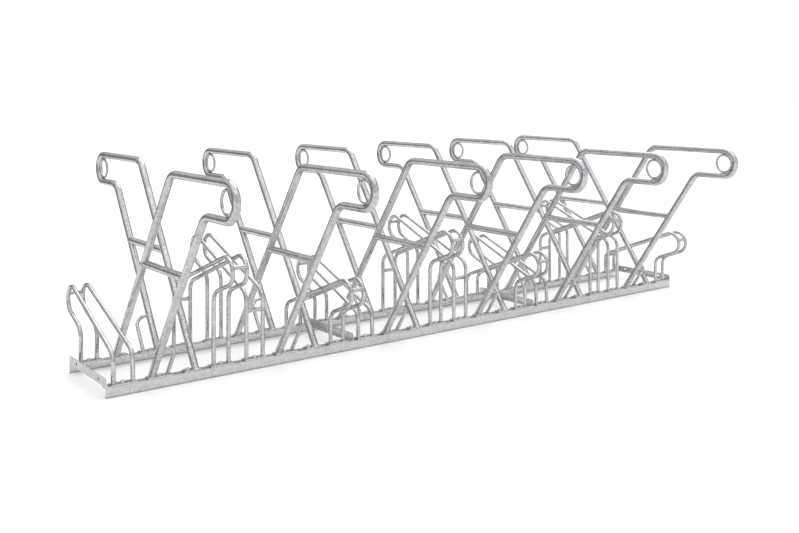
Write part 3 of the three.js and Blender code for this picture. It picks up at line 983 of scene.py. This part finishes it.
def add_cards():
    corners = [(-CARD_X, 0), (-CARD_X, CARD_Y), (CARD_X, CARD_Y), (CARD_X, 0)]
    count = len(corners)
    points = [(x, y, z) for z in (0, CARD_HEIGHT) for x, y in corners]
    faces = [(side, side + 1, side + 1 + count, side + count) for side in range(count - 1)]
    mesh = new_mesh("dark_cards", points, faces)
    material = bpy.data.materials.new("dark_card")
    tree = clear_tree(material)
    output = add_node(tree, "ShaderNodeOutputMaterial")
    glow = add_node(tree, "ShaderNodeEmission")
    glow.inputs["Strength"].default_value = CARD_BRIGHTNESS
    tree.links.new(glow.outputs[0], output.inputs["Surface"])
    mesh.materials.append(material)
    cards = add_object("dark_cards", mesh)
    cards.visible_camera = False
    cards.visible_diffuse = False
    cards.visible_shadow = False
    cards.visible_transmission = False


# Brightness of the sky by the sine of the height above the horizon, behind the rack and before it
SKY_BEHIND = (
    (0.000, 1.00),
    (0.095, 1.00),
    (0.110, 0.30),
    (0.200, 0.30),
    (0.300, 0.60),
    (0.400, 0.84),
    (0.780, 0.84),
    (0.860, 1.40),
    (1.000, 1.40),
)
SKY_BEFORE = (
    (0.000, 1.00),
    (0.095, 1.00),
    (0.200, 0.90),
    (0.450, 0.88),
    (0.600, 0.80),
    (0.680, 1.40),
    (1.000, 1.40),
)
SKY_BLUE_FROM = 0.64  # the sky above this is slightly blue
SKY_BLUE = (0.955, 1.0, 1.05)
SKY_TURN = 0.25  # how far the change from one to the other reaches to either side

# Sockets of a mix node that mixes colours
MIX_FIRST = 6
MIX_SECOND = 7
MIX_RESULT = 2


def sky_ramp(tree, stops, height):
    ramp = add_node(tree, "ShaderNodeValToRGB")
    elements = ramp.color_ramp.elements
    while len(elements) < len(stops):
        elements.new(1)
    for element, (position, brightness) in zip(elements, stops):
        element.position = position
        tint = SKY_BLUE if position > SKY_BLUE_FROM else (1, 1, 1)
        element.color = (*[brightness * share for share in tint], 1)
    tree.links.new(height, ramp.inputs["Fac"])
    return ramp.outputs["Color"]


def add_sky():
    world = bpy.data.worlds.new("studio")
    tree = clear_tree(world)
    output = add_node(tree, "ShaderNodeOutputWorld")
    background = add_node(tree, "ShaderNodeBackground")
    direction = add_node(tree, "ShaderNodeTexCoord")
    split = add_node(tree, "ShaderNodeSeparateXYZ")
    tree.links.new(direction.outputs["Generated"], split.inputs[0])
    turn = add_node(tree, "ShaderNodeMapRange", interpolation_type="SMOOTHSTEP")
    turn.inputs["From Min"].default_value = -SKY_TURN
    turn.inputs["From Max"].default_value = SKY_TURN
    tree.links.new(split.outputs["Y"], turn.inputs["Value"])
    mix = add_node(tree, "ShaderNodeMix", data_type="RGBA")
    tree.links.new(turn.outputs["Result"], mix.inputs["Factor"])
    tree.links.new(sky_ramp(tree, SKY_BEFORE, split.outputs["Z"]), mix.inputs[MIX_FIRST])
    tree.links.new(sky_ramp(tree, SKY_BEHIND, split.outputs["Z"]), mix.inputs[MIX_SECOND])
    tree.links.new(mix.outputs[MIX_RESULT], background.inputs["Color"])
    tree.links.new(background.outputs[0], output.inputs["Surface"])
    bpy.context.scene.world = world


LAMP_ANGLE = math.radians(50)
LAMP_STRENGTH = 0.95
LAMP_FROM = Vector((0.75, 0.55, 1.3))


def add_lamp():
    data = bpy.data.lights.new("soft_lamp", "SUN")
    data.angle = LAMP_ANGLE
    data.energy = LAMP_STRENGTH
    lamp = add_object("soft_lamp", data)
    lamp.rotation_euler = LAMP_FROM.to_track_quat("Z", "Y").to_euler()


add_camera()
add_rails()
add_members()
add_places()
add_floor()
add_cards()
add_sky()
add_lamp()
bpy.context.scene.view_settings.view_transform = "Standard"
